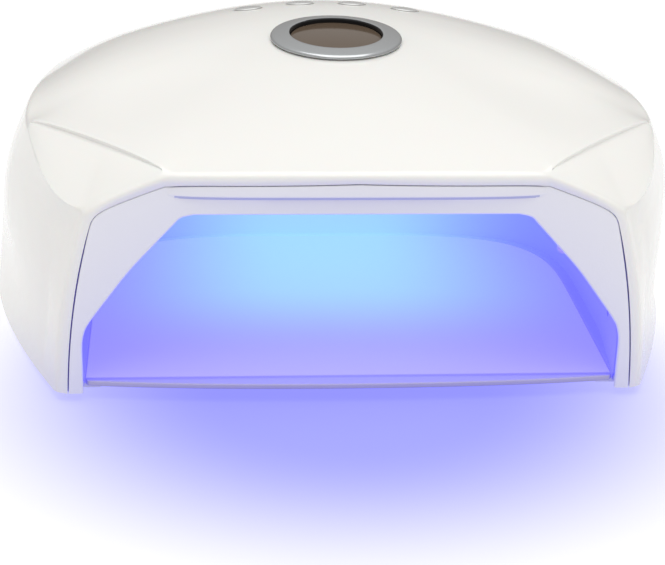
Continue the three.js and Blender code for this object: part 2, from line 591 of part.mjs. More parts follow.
BOARD_POSTS.flatMap(both).forEach(([x, y, side], i) =>
  add(`board_screw_${(i >> 1) + 1}_${side}`, screw(1, 6, 2.2, 1), MAT.steel, [x, y, CONTROL_Z - GAP]));
add('inlet_wire', wire([[34, 81, 22.9], [34, 80, 26], [24, 79, 28], [12, 77, 24.5], [8, 75.5, 19.5]]),
  MAT.wire);
add('led_wire', wire([[-4, 49, 19.8], [-4, 47, 28], [-6, 40, 50], [-4, 20, 67], [0, -10, 68],
  [0, -18, 65.4]]), MAT.wire);

export default group;
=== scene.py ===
"""A desktop UV LED nail lamp, built round its CAD frame.

The geometry helpers work in millimetres, and meshes are scaled to metres as they are made.
+Z is up and the hand opening faces -Y.
"""

import math

import bmesh
import bpy
import numpy as np
from mathutils import Euler, Matrix, Vector
from mathutils.bvhtree import BVHTree
from mathutils.kdtree import KDTree


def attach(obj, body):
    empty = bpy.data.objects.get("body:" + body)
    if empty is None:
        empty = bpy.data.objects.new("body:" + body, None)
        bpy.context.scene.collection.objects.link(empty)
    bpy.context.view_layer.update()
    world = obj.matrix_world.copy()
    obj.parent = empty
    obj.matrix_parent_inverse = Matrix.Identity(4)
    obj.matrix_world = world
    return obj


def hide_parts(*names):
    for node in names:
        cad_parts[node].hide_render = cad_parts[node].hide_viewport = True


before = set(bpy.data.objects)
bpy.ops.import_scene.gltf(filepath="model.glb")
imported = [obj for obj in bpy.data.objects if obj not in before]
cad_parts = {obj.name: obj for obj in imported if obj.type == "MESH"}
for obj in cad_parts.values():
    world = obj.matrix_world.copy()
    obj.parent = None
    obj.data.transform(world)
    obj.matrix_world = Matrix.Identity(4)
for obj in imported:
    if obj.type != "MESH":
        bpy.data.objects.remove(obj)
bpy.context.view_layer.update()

MM = 0.001

# ---------------------------------------------------------------- sizes shared with the CAD side
WALL = 2.2                                  # shell wall
LINER_WALL = 1.8                            # chamber and front frame wall
GAP = 0.35                                  # clearance between neighbouring pieces
BASE_Z = 2.6                                # lower edge of the shell
HALF_W = 117
REAR_FOOT_Y = 104
WIDE_Y = 12                                 # where the shell is widest
FRONT_Y = -101                              # flat face of the front frame
APEX_Y, APEX_Z = 20, 92.2
ROOF_FRONT, ROOF_REAR, ROOF_SIDE = 415, 295, 330      # radii of the roof's arches
NOSE_FROM, NOSE_TO, NOSE_CROWN = -108, -35, 0.08      # the side-to-side arch flattens at the hood
EDGE_FROM, EDGE_FALL = 70, 260              # beyond this half width the roof falls faster
DECK_Z = 4.45                               # underside of the tray
TRAY_T = 1.8
TRAY_HALF_W = 81.4
TRAY_BACK_Y = 25
CATCH_X, CATCH_Y = 30, 20.8                 # steel strikes in the tray
POCKET_R, POCKET_DEPTH = 3.35, 1.1
CEILING_Z = 60
BROW_Z = 65.4                               # underside of the brow bar
RING_Y, RING_TILT = -12, 0.068
RING_OUTER, RING_INNER = 22.1, 15.5
BUTTONS = [(-28, 29.5), (-9.3, 33.5), (9.3, 33.5), (28, 29.5)]
BUTTON_HOLE_R, BUTTON_STRETCH = 3.55, 1.47  # half depth of an opening, and its width over its depth
CAP_R, CAP_CROWN, CAP_STRETCH = 3.2, 0.75, 1.5
FEET = {"front": (90.8, -72), "rear": (72, 66)}
JACK_X, JACK_Z, JACK_RECESS = 34, 17, 1.2
SENSOR_X, SENSOR_Y, SENSOR_Z = 84.5, -78, 20
INLET_HOLE_R = 4.6
POSTS = [(92.5, -50), (88, 34), (56, 68)]   # shell screw posts, mirrored
BOARD_POSTS = [(33, -27), (33, 44)]         # control board posts, mirrored
POST_RADII, BOARD_POST_RADII = (3.7, 1.85), (2.8, 1.35)    # outside and bore
POST_COVER = 1                              # a post ends this far under the roof's outer face
BOARD_TOP = 78.1
PLUNGER_TOP = BOARD_TOP + 4.3
STEM_CLEARANCE = 0.03                       # keeps a pressed stem off the switch's body
CORNER_Y = -40                              # the chamber's side walls turn in from here
BULGE = 3                                   # the chamber widens behind the front frame


# ---------------------------------------------------------------- curves and numbers
def point(x, y, z):
    return np.array((x, y, z), float)


def smooth(x, low, high):
    t = np.clip((x - low) / (high - low), 0, 1)
    return t * t * (3 - 2 * t)


def lerp(a, b, t):
    return a + (b - a) * t


def even(n):
    return np.linspace(0, 1, n + 1)


def bezier(a, b, c, d, ts):
    t = np.asarray(ts)[:, None]
    return (1 - t) ** 3 * a + 3 * (1 - t) ** 2 * t * b + 3 * (1 - t) * t * t * c + t**3 * d


def joined(*runs):
    return np.vstack([run if i == 0 else run[1:] for i, run in enumerate(runs)])


def through(points, steps):
    """A Catmull-Rom curve through the points."""
    p = np.asarray(points, float)
    p = np.vstack([2 * p[0] - p[1], p, 2 * p[-1] - p[-2]])
    run = []
    for i in range(1, len(p) - 2):
        a, b, c, d = p[i - 1 : i + 3]
        for t in np.arange(steps) / steps:
            run.append(0.5 * (2 * b + (c - a) * t + (2 * a - 5 * b + 4 * c - d) * t * t
                              + (3 * b - a - 3 * c + d) * t**3))
    return np.array(run + [p[-2]])


def resampled(line, n):
    """n + 1 points at even distances along a line."""
    line = np.asarray(line, float)
    steps = np.linalg.norm(np.diff(line, axis=0), axis=1)
    along = np.concatenate([[0], np.cumsum(steps)])
    wanted = np.linspace(0, along[-1], n + 1)
    return np.column_stack([np.interp(wanted, along, line[:, k]) for k in range(line.shape[1])])


def rounded(corners, radius, steps=4, closed=False):
    """The polyline with its corners turned into short curves."""
    p = [np.array(c, float) for c in corners]
    n = len(p)
    run = []
    for i in range(n):
        if not closed and i in (0, n - 1):
            run.append(p[i])
            continue
        before, here, after = p[i - 1], p[i], p[(i + 1) % n]
        a, b = before - here, after - here
        reach = min(radius, 0.45 * np.linalg.norm(a), 0.45 * np.linalg.norm(b))
        start = here + a / np.linalg.norm(a) * reach
        end = here + b / np.linalg.norm(b) * reach
        for t in even(steps):
            run.append((1 - t) ** 2 * start + 2 * (1 - t) * t * here + t * t * end)
    return np.array(run)


# ---------------------------------------------------------------- meshes
class Sheet:
    """Points and faces in millimetres, made of grids."""

    def __init__(self):
        self.points = []
        self.faces = []

    def grid(self, rows, away_from=None):
        rows = [np.asarray(row, float) for row in rows]
        columns = len(rows[0])
        first = len(self.points)
        self.points.extend(np.vstack(rows))
        made = []
        for i in range(len(rows) - 1):
            for j in range(columns - 1):
                low = first + i * columns + j
                made.append([low, low + 1, low + columns + 1, low + columns])
        if away_from is not None:
            p = np.array(self.points)
            quad = p[np.array(made)]
            normals = np.cross(quad[:, 2] - quad[:, 0], quad[:, 3] - quad[:, 1])
            if (normals * (quad.mean(axis=1) - np.asarray(away_from))).sum() < 0:
                made = [face[::-1] for face in made]
        self.faces.extend(made)
        return self

    def mirror(self):
        n = len(self.points)
        self.points.extend([p * (-1, 1, 1) for p in self.points])
        self.faces.extend([[i + n for i in face[::-1]] for face in self.faces])
        return self

    def mesh(self, name, weld=0.02):
        mesh = bpy.data.meshes.new(name)
        mesh.from_pydata([tuple(p * MM) for p in self.points], [], self.faces)
        bm = bmesh.new()
        bm.from_mesh(mesh)
        bmesh.ops.remove_doubles(bm, verts=bm.verts, dist=weld * MM)
        bmesh.ops.dissolve_degenerate(bm, edges=bm.edges, dist=0.001 * MM)
        bm.to_mesh(mesh)
        bm.free()
        return mesh


def shade(mesh, angle=35):
    mesh.shade_smooth()
    mesh.set_sharp_from_angle(angle=math.radians(angle))


def place(name, mesh, *materials):
    obj = bpy.data.objects.new(name, mesh)
    bpy.context.scene.collection.objects.link(obj)
    for material in materials:
        mesh.materials.append(material)
    return obj


def solid_mesh(name, build):
    """A mesh made by build(bm), with its faces pointing outwards."""
    mesh = bpy.data.meshes.new(name)
    bm = bmesh.new()
    build(bm)
    bmesh.ops.recalc_face_normals(bm, faces=bm.faces)
    bm.to_mesh(mesh)
    bm.free()
    return mesh


def add_loops(bm, loops, caps=True, material=0):
    """Closed loops of points in millimetres, skinned one to the next."""
    rings = [[bm.verts.new(Vector(p) * MM) for p in loop] for loop in loops]
    n = len(rings[0])
    faces = []
    for low, high in zip(rings, rings[1:]):
        faces += [bm.faces.new((low[j], low[(j + 1) % n], high[(j + 1) % n], high[j])) for j in range(n)]
    if caps:
        faces += [bm.faces.new(rings[0][::-1]), bm.faces.new(rings[-1])]
    for face in faces:
        face.material_index = material
    return [vert for ring in rings for vert in ring]


def moved(x=0, y=0, z=0, turn=(0, 0, 0)):
    """A placement in millimetres."""
    return Matrix.Translation((x, y, z)) @ Euler(turn).to_matrix().to_4x4()


def in_metres(placement):
    return Matrix.Translation(Vector(placement.translation) * MM) @ placement.to_3x3().to_4x4()


AXIS_R = 0.02                               # a turned profile starts this close to its axis


def lathe_loops(profile, sides):
    turns = [(math.cos(a), math.sin(a)) for a in np.arange(sides) * 2 * math.pi / sides]
    return [[(r * c, r * s, z) for c, s in turns] for r, z in profile]


def lathe(bm, profile, sides=48, closed=False, at=None, material=0):
    """Turns a profile of (radius, height) about Z; a closed one is a ring with a hole."""
    loops = lathe_loops(profile, sides)
    if closed:
        loops.append(loops[0])
    verts = add_loops(bm, loops, caps=not closed, material=material)
    if closed:
        bmesh.ops.remove_doubles(bm, verts=verts, dist=1e-7)
        verts = [vert for vert in verts if vert.is_valid]
    if at is not None:
        bmesh.ops.transform(bm, matrix=in_metres(at), verts=verts)
    return verts


def slab(bm, outline, z0, height, bevel, steps=3):
    """A plate with rounded edges over a closed outline of (x, y)."""
    p = np.asarray(outline, float)
    along = np.roll(p, -1, axis=0) - np.roll(p, 1, axis=0)
    normal = np.column_stack([along[:, 1], -along[:, 0]])
    normal /= np.linalg.norm(normal, axis=1)[:, None] + 1e-12
    area = 0.5 * np.sum(p[:, 0] * np.roll(p[:, 1], -1) - np.roll(p[:, 0], -1) * p[:, 1])
    normal *= -1 if area > 0 else 1
    turn = even(steps) * math.pi / 2
    levels = [(bevel * (1 - math.sin(a)), z0 + bevel * (1 - math.cos(a))) for a in turn]
    levels += [(inset, 2 * z0 + height - z) for inset, z in levels[::-1]]
    return add_loops(bm, [[(x, y, z) for x, y in p + normal * inset] for inset, z in levels])


def applied(obj):
    """The object with its modifiers made part of its mesh."""
    graph = bpy.context.evaluated_depsgraph_get()
    mesh = bpy.data.meshes.new_from_object(obj.evaluated_get(graph), depsgraph=graph)
    obj.modifiers.clear()
    obj.data = mesh
    return obj


def cut_away(obj, name, build):
    """Cuts the solid that build(bm) makes out of the object."""
    cutter = place(name, solid_mesh(name, build))
    modifier = obj.modifiers.new("cut", "BOOLEAN")
    modifier.operation = "DIFFERENCE"
    modifier.solver = "EXACT"
    modifier.object = cutter
    applied(obj)
    bpy.data.objects.remove(cutter)


def thicken(obj, thickness):
    """Grows a sheet inwards from its face side into a closed wall."""
    modifier = obj.modifiers.new("wall", "SOLIDIFY")
    modifier.thickness = thickness * MM
    modifier.offset = -1
    modifier.use_even_offset = True
    modifier.thickness_clamp = 0.5
    applied(obj)


SOFTEN_STEP = 0.6


def soften(mesh, lines, rounds, restore=0):
    """Rounds the surface near the given lines, each (points, radius) in millimetres.

    A restore step as large as the smoothing step keeps the form from shrinking.
    """
    n = len(mesh.vertices)
    co = np.zeros(n * 3)
    mesh.vertices.foreach_get("co", co)
    co = co.reshape(n, 3) / MM
    edges = np.array([edge.vertices[:] for edge in mesh.edges])
    uses = {}
    for polygon in mesh.polygons:
        for key in polygon.edge_keys:
            uses[key] = uses.get(key, 0) + 1
    border = np.zeros(n, bool)
    for key, count in uses.items():
        if count == 1:
            border[list(key)] = True
    weight = np.zeros(n)
    for line, radius in lines:
        dense = resampled(line, 200)
        dense = np.vstack([dense, dense * (-1, 1, 1)])
        tree = KDTree(len(dense))
        for i, p in enumerate(dense):
            tree.insert(p, i)
        tree.balance()
        distance = np.array([tree.find(p)[2] for p in co])
        weight = np.maximum(weight, np.exp(-((distance / radius) ** 2)))
    weight[border] = 0
    degree = np.bincount(edges.ravel(), minlength=n)[:, None]
    for amount in [SOFTEN_STEP, -restore] * rounds:
        total = np.zeros_like(co)
        np.add.at(total, edges[:, 0], co[edges[:, 1]])
        np.add.at(total, edges[:, 1], co[edges[:, 0]])
        co += amount * weight[:, None] * (total / degree - co)
    mesh.vertices.foreach_set("co", (co * MM).ravel())
    mesh.update()


# ---------------------------------------------------------------- materials
def nodes_of(name):
    material = bpy.data.materials.new(name)
    material.use_nodes = True
    tree = material.node_tree
    return material, tree.nodes, tree.links, tree.nodes["Principled BSDF"]


def grained(nodes, links, shader, place_in, grain, gloss_range, bump):
    """Fine noise that drives the shader's roughness and a slight relief."""
    fine = nodes.new("ShaderNodeTexNoise")
    fine.inputs["Scale"].default_value = grain
    fine.inputs["Detail"].default_value = 4
    links.new(place_in, fine.inputs["Vector"])
    gloss = nodes.new("ShaderNodeMapRange")
    gloss.inputs["To Min"].default_value, gloss.inputs["To Max"].default_value = gloss_range
    links.new(fine.outputs["Fac"], gloss.inputs["Value"])
    links.new(gloss.outputs["Result"], shader.inputs["Roughness"])
    relief = nodes.new("ShaderNodeBump")
    relief.inputs["Strength"].default_value = bump
    relief.inputs["Distance"].default_value = 0.2 * MM
    links.new(fine.outputs["Fac"], relief.inputs["Height"])
    links.new(relief.outputs["Normal"], shader.inputs["Normal"])


def finish(name, colour, rough, *, grain=900, bump=0.02, patch=30, vary=0.03, settings=None):
    """A moulded, cast or rolled surface: slow colour and gloss variation and a fine grain."""
    material, nodes, links, shader = nodes_of(name)
    place_in = nodes.new("ShaderNodeTexCoord").outputs["Object"]
    slow = nodes.new("ShaderNodeTexNoise")
    slow.inputs["Scale"].default_value = patch
    slow.inputs["Detail"].default_value = 3
    links.new(place_in, slow.inputs["Vector"])
    tint = nodes.new("ShaderNodeMix")
    tint.data_type = "RGBA"
    tint.inputs["A"].default_value = (*[c * (1 - vary) for c in colour], 1)
    tint.inputs["B"].default_value = (*[min(1, c * (1 + vary)) for c in colour], 1)
    links.new(slow.outputs["Fac"], tint.inputs["Factor"])
    links.new(tint.outputs["Result"], shader.inputs["Base Color"])
    grained(nodes, links, shader, place_in, grain, (rough * 0.85, rough * 1.2), bump)
    for socket, value in (settings or {}).items():
        shader.inputs[socket].default_value = value
    return material


def circuit_board(name, mask, line):
    """Solder mask with raised copper tracks and pads under it."""
    material, nodes, links, shader = nodes_of(name)
    place_in = nodes.new("ShaderNodeTexCoord").outputs["Object"]
    tracks = nodes.new("ShaderNodeTexBrick")
    tracks.inputs["Scale"].default_value = 120
    tracks.inputs["Color1"].default_value = (*mask, 1)
    tracks.inputs["Color2"].default_value = (*[c * 0.82 for c in mask], 1)
    tracks.inputs["Mortar"].default_value = (*line, 1)
    tracks.inputs["Mortar Size"].default_value = 0.03
    tracks.inputs["Brick Width"].default_value = 0.7
    tracks.inputs["Row Height"].default_value = 0.22
    links.new(place_in, tracks.inputs["Vector"])
    links.new(tracks.outputs["Color"], shader.inputs["Base Color"])
    relief = nodes.new("ShaderNodeBump")
    relief.inputs["Strength"].default_value = 0.3
    relief.inputs["Distance"].default_value = 0.0001
    links.new(tracks.outputs["Fac"], relief.inputs["Height"])
    links.new(relief.outputs["Normal"], shader.inputs["Normal"])
    shader.inputs["Roughness"].default_value = 0.35
    return material


def mapped(nodes, links, value, low, high, smoothed=False):
    """A place along an axis, mapped from low..high in millimetres onto 0..1."""
    node = nodes.new("ShaderNodeMapRange")
    node.interpolation_type = "SMOOTHSTEP" if smoothed else "LINEAR"
    node.inputs["From Min"].default_value = low * MM
    node.inputs["From Max"].default_value = high * MM
    links.new(value, node.inputs["Value"])
    return node


def lit_plastic(name, near, far, rough, *, front, back, edge_colour, edge, glow):
    """White plastic washed by the lamp beads.

    Its colour is painted light: the near tint by the opening and the far tint at the middle of the back,
    and the edge colour in front of the edge. The painted wash also glows a little, standing in for
    the light bouncing inside the chamber.
    """
    wide, narrow = 100, 15      # half widths between which the far tint comes in
    material, nodes, links, shader = nodes_of(name)
    place_in = nodes.new("ShaderNodeTexCoord").outputs["Object"]
    parts = nodes.new("ShaderNodeSeparateXYZ")
    links.new(place_in, parts.inputs["Vector"])
    depth = mapped(nodes, links, parts.outputs["Y"], front, back, smoothed=True)
    across = nodes.new("ShaderNodeMath")
    across.operation = "ABSOLUTE"
    links.new(parts.outputs["X"], across.inputs[0])
    centre = mapped(nodes, links, across.outputs["Value"], wide, narrow, smoothed=True)
    reach = nodes.new("ShaderNodeMath")
    reach.operation = "MULTIPLY"
    links.new(depth.outputs["Result"], reach.inputs[0])
    links.new(centre.outputs["Result"], reach.inputs[1])
    wash = nodes.new("ShaderNodeMix")
    wash.data_type = "RGBA"
    wash.inputs["A"].default_value = (*near, 1)
    wash.inputs["B"].default_value = (*far, 1)
    links.new(reach.outputs["Value"], wash.inputs["Factor"])
    mouth = mapped(nodes, links, parts.outputs["Y"], edge - 1.2, edge)
    tint = nodes.new("ShaderNodeMix")
    tint.data_type = "RGBA"
    tint.inputs["A"].default_value = (*edge_colour, 1)
    links.new(mouth.outputs["Result"], tint.inputs["Factor"])
    links.new(wash.outputs["Result"], tint.inputs["B"])
    links.new(tint.outputs["Result"], shader.inputs["Base Color"])
    inside = mapped(nodes, links, parts.outputs["Y"], edge + 0.6, edge + 1.6)
    inside.inputs["To Max"].default_value = glow
    links.new(inside.outputs["Result"], shader.inputs["Emission Strength"])
    links.new(wash.outputs["Result"], shader.inputs["Emission Color"])
    grained(nodes, links, shader, place_in, 1600, (rough * 0.8, rough * 1.2), 0.15)
    return material


def brushed(name, colour, rough, stretch):
    """Bright metal with fine lines along one direction."""
    material, nodes, links, shader = nodes_of(name)
    mapping = nodes.new("ShaderNodeMapping")
    mapping.inputs["Scale"].default_value = stretch
    links.new(nodes.new("ShaderNodeTexCoord").outputs["Object"], mapping.inputs["Vector"])
    lines = nodes.new("ShaderNodeTexNoise")
    lines.inputs["Scale"].default_value = 1
    lines.inputs["Detail"].default_value = 5
    links.new(mapping.outputs["Vector"], lines.inputs["Vector"])
    gloss = nodes.new("ShaderNodeMapRange")
    gloss.inputs["To Min"].default_value = rough * 0.7
    gloss.inputs["To Max"].default_value = rough * 1.4
    links.new(lines.outputs["Fac"], gloss.inputs["Value"])
    links.new(gloss.outputs["Result"], shader.inputs["Roughness"])
    relief = nodes.new("ShaderNodeBump")
    relief.inputs["Strength"].default_value = 0.05
    relief.inputs["Distance"].default_value = 0.00005
    links.new(lines.outputs["Fac"], relief.inputs["Height"])
    links.new(relief.outputs["Normal"], shader.inputs["Normal"])
    shader.inputs["Base Color"].default_value = (*colour, 1)
    shader.inputs["Metallic"].default_value = 1
    return material


MAT = {
    "shell": finish("gloss_white_shell", (0.88, 0.866, 0.835), 0.16, grain=450, bump=0.03, patch=12,
                    vary=0.012, settings={"Coat Weight": 0.6, "Coat Roughness": 0.06,
                                          "Subsurface Weight": 0.05, "Subsurface Scale": 0.004}),
    # The chamber's and tray's colours are painted lamp light, violet by the opening and cyan at the
    # back.
    "liner": lit_plastic("satin_white_chamber_painted_light", (0.3, 0.28, 0.9), (0.5, 0.75, 0.95), 0.34,
                         front=-30, back=10, edge_colour=(0.86, 0.86, 0.89), edge=-99.4, glow=0.33),
    "base": finish("satin_white_base", (0.84, 0.84, 0.86), 0.36, grain=1400, bump=0.06, patch=18,
                   vary=0.015),
    # The tray's edge colour is painted violet spill light on its white front edge.
    "tray": lit_plastic("satin_white_tray_painted_light", (0.4, 0.36, 0.9), (0.42, 0.62, 0.92), 0.3,
                        front=-80, back=-25, edge_colour=(0.5, 0.47, 0.66), edge=-98.5, glow=0.45),
    # Painted shade: a dark bluish line along the lower edge of the brow bar.
    "brow_painted_shade": finish("brow_edge_painted_shade", (0.5, 0.52, 0.72), 0.3, grain=1200, bump=0.05, patch=20),
    "chrome": brushed("polished_ring", (0.5, 0.515, 0.525), 0.2, (60, 60, 900)),
    "window": finish("smoked_window", (0.11, 0.078, 0.054), 0.1, grain=300, bump=0.01, patch=40,
                     vary=0.08, settings={"Specular IOR Level": 0.22}),
    "ring_inner_black": finish("black_ring_inner_wall", (0.01, 0.01, 0.011), 0.25, grain=900, bump=0.05, patch=60, vary=0.2,
                     settings={"Specular IOR Level": 0.3}),
    "button": finish("silver_button", (0.62, 0.62, 0.61), 0.28, grain=2500, bump=0.08, patch=90,
                     vary=0.05, settings={"Metallic": 0.75, "Coat Weight": 0.4}),
    "black": finish("black_moulding", (0.018, 0.018, 0.02), 0.42, grain=2200, bump=0.25, patch=70,
                    vary=0.2),
    "rubber": finish("foot_rubber", (0.27, 0.27, 0.28), 0.8, grain=2600, bump=0.5, patch=60, vary=0.1),
    "steel": brushed("zinc_steel", (0.62, 0.62, 0.6), 0.28, (900, 900, 120)),
    "board": circuit_board("green_circuit_board", (0.02, 0.17, 0.07), (0.1, 0.33, 0.13)),
    "led_board": circuit_board("white_led_board", (0.78, 0.79, 0.78), (0.62, 0.6, 0.5)),
    "wire": finish("wire_sleeve", (0.45, 0.03, 0.025), 0.4, grain=1500, bump=0.1, patch=120, vary=0.1),
}


# ---------------------------------------------------------------- outer shell
TIP = point(91, -98.5, BASE_Z)
CORNER = point(81.3, -98.5, 61.5)
CREASE_SIDE = point(100.6, -48, 72.4)
CREASE_FRONT = point(56, -101.2, 73.2)
SIDE_TOP = point(96, 16, 73)
REAR_TOP = point(0, 87, 70)
STEP = 1.2                                  # the roof stands this proud of the cheek
CREASE_ARCH, CREASE_DIP = 1.6, 0.5          # the crease bows up, with a groove beside it
CHEEK_CROWN = 1.1
BELLY, HOLLOW = 4.4, 1.2                    # swell of the flanks, and their dip above the foot
FLUTE, FLUTE_AT, FLUTE_WIDTH = 1.3, 0.88, 0.065    # depth, then place and width over the height
RIDGE, SIDE, REAR, LIP_FRONT, BROW = 20, 20, 35, 15, 18    # steps along each edge curve
RIM_CLUSTER = 1 - (1 - even(28)) ** 1.5   # closer rows towards the rim


def roof_z(x, y):
    along = ROOF_FRONT if y < APEX_Y else ROOF_REAR
    across = lerp(NOSE_CROWN, 1, smooth(y, NOSE_FROM, NOSE_TO))
    edge = max(0, abs(x) - EDGE_FROM)
    drop = across * (x * x / (2 * ROOF_SIDE) + edge * edge / EDGE_FALL)
    return APEX_Z - (y - APEX_Y) ** 2 / (2 * along) - drop


widest = point(HALF_W, WIDE_Y, BASE_Z)
foot_line = joined(
    bezier(TIP, point(104.5, -66, BASE_Z), widest + (0, -40, 0), widest, even(RIDGE + SIDE)),
    bezier(widest, point(HALF_W, 68, BASE_Z), point(66, REAR_FOOT_Y, BASE_Z),
           point(0, REAR_FOOT_Y, BASE_Z), even(REAR)))
rim_ridge = bezier(CORNER, point(90, -93, 60.5), point(96.5, -76, 68), CREASE_SIDE, even(RIDGE))
rim_side = bezier(CREASE_SIDE, point(102.6, -30, 74.5), point(101, -8, 74), SIDE_TOP, even(SIDE))
rim_rear = bezier(SIDE_TOP, point(91, 52, 71.5), point(50, 87, 70), REAR_TOP, even(REAR))
rim_line = joined(rim_ridge, rim_side, rim_rear)


def parting_side(ts):
    return bezier(point(86.8, FRONT_Y, BASE_Z), point(86.3, FRONT_Y, 22), point(83.6, FRONT_Y, 41),
                  point(78.8, FRONT_Y, 57), ts)


parting_turn = bezier(point(78.8, FRONT_Y, 57), point(77.6, FRONT_Y, 61), point(75, FRONT_Y, 62.2),
                      point(57, FRONT_Y, 69), even(LIP_FRONT))


def parting_brow(ts):
    return bezier(point(57, FRONT_Y, 69), point(49, -103.6, 70.6), point(34, -103.6, 69.6),
                  point(0, -103.6, 70.6), ts)


def lip_side(ts):
    return bezier(TIP, point(90.6, -98.5, 22), point(88, -98.5, 41), CORNER, ts)


lip_front = bezier(CORNER, point(75, -99.5, 65.5), point(66, -100.8, 69.5), CREASE_FRONT,
                   even(LIP_FRONT))
lip_brow = bezier(CREASE_FRONT, point(49, -102.6, 74), point(34, -102.6, 74), point(0, -103, 74),
                  even(BROW))


def flank_rows():
    """Columns from the foot up to the rim.

    They are full under the rim, hollow above the front of the foot, and fluted beside the ridge.
    """
    v = RIM_CLUSTER[:, None]
    corner_bow = lip_side(RIM_CLUSTER) - lerp(TIP, CORNER, v)
    columns = []
    for i, (low, high) in enumerate(zip(foot_line, rim_line)):
        s = i / (len(foot_line) - 1)
        out = (low - high) * (1, 1, 0)
        out /= np.linalg.norm(out)
        belly = BELLY * smooth(s, 0, 0.22)
        skew = lerp(2, 1.2, smooth(s, 0.25, 0.5))
        hollow = HOLLOW * smooth(s, 0, 0.12) * (1 - smooth(s, 0.3, 0.5))
        flute = FLUTE * smooth(s, 0.01, 0.07) * (1 - smooth(s, 0.1, 0.24))
        swell = belly * np.sin(math.pi * v**skew)
        swell -= hollow * np.sin(2 * math.pi * np.minimum(v, 0.5))
        swell -= flute * np.exp(-(((v - FLUTE_AT) / FLUTE_WIDTH) ** 2))
        columns.append(lerp(low, high, v) + corner_bow * max(0, 1 - 15 * s) + out * swell)
    return columns


def strip_rows(steps=8):
    """The rolled lip between the parting line and the front edge of the shell."""
    parting = joined(parting_side(RIM_CLUSTER), parting_turn, parting_brow(even(BROW)))
    lip = joined(lip_side(RIM_CLUSTER), lip_front, lip_brow)
    roll = 0.9
    outwards = roll * np.tile((0.5, -1, 0.4), (len(parting), 1))
    outwards[:, 0] *= np.minimum(1, parting[:, 0] / 60)
    return [lerp(parting, lip, t) + math.sin(math.pi * t) * outwards for t in even(steps)]


def crease_line(lift):
    """The edge between cheek and roof, from the hood to the side rim, raised by the lift."""
    t = even(LIP_FRONT + RIDGE)[:, None]
    arch = np.sqrt(np.maximum(0, np.sin(math.pi * t)))
    step = np.maximum(0, np.sin(math.pi * t)) ** 0.25
    rise = np.hstack([0.3 * lift * step, 0 * arch, CREASE_ARCH * arch + lift * step])
    return lerp(CREASE_FRONT, CREASE_SIDE, t) + rise


def cheek_rows():
    """The nearly flat facet between the crease, the front lip and the ridge."""
    crease = crease_line(0)
    outer = joined(lip_front[::-1], rim_ridge)
    arch = np.sin(math.pi * even(len(crease) - 1))
    rows = []
    for u in even(16):
        t = 1 - (1 - u) ** 1.5
        row = lerp(crease, outer, t)
        groove = CREASE_DIP * math.exp(-((t / 0.05) ** 2))
        row[:, 2] += (CHEEK_CROWN * math.sin(math.pi * t) - groove) * arch
        rows.append(row)
    return rows


def roof_rows(steps=32):
    """The roof, which settles from its edge onto the arch. Inside the edge its rise is evened out."""
    edge = joined(lip_brow[::-1], crease_line(STEP), rim_side, rim_rear)
    proud = np.array([z - roof_z(x, y) for x, y, z in edge])
    window = np.hanning(21)
    calm = np.convolve(np.pad(proud, len(window) // 2, mode="edge"), window / window.sum(), mode="valid")
    rows = []
    for k, t in enumerate(even(steps) ** 1.6):
        plan = lerp(edge, point(0, APEX_Y, 0), t)
        height = [roof_z(x, y) for x, y, _ in plan]
        settle = (1 - t) ** 3 * lerp(proud, calm, min(1, k / 5))
        rows.append(np.column_stack([plan[:, 0], plan[:, 1], height + settle]))
    return rows


def shell_skin():
    sheet = Sheet()
    inside = (0, 0, 30)
    sheet.grid(flank_rows(), inside)
    sheet.grid(strip_rows(), (0, 60, 30))
    sheet.grid(cheek_rows(), inside)
    low, high = crease_line(0), crease_line(STEP)
    low[:, 2] -= CREASE_DIP * np.sin(math.pi * even(len(low) - 1))
    sheet.grid([lerp(low, high, t) for t in even(4)], inside)
    sheet.grid(roof_rows(), inside)
    mesh = sheet.mirror().mesh("shell", weld=0.03)
    soften(mesh, [(rim_ridge[4:], 3.2), (joined(rim_side, rim_rear), 8)], rounds=30, restore=0.52)
    lip = joined(lip_side(even(30)), lip_front, lip_brow)
    soften(mesh, [(low, 0.5), (high, 0.5), (lip, 1.0)], rounds=3)
    return mesh


skin = shell_skin()
skin_bm = bmesh.new()
skin_bm.from_mesh(skin)
skin_tree = BVHTree.FromBMesh(skin_bm)
skin_bm.free()


def roof_at(x, y):
    hit = skin_tree.ray_cast(Vector((x, y, 200)) * MM, Vector((0, 0, -1)))[0]
    return hit.z / MM


def rear_at(x, z):
    hit = skin_tree.ray_cast(Vector((x, 300, z)) * MM, Vector((0, -1, 0)))[0]
    return hit.y / MM


def oval(bm, x, y, z0, z1, radius, stretch=1.0, sides=64):
    turns = even(sides)[:-1] * 2 * math.pi
    loops = [[(x + stretch * radius * math.cos(a), y + radius * math.sin(a), z) for a in turns]
             for z in (z0, z1)]
    return add_loops(bm, loops)


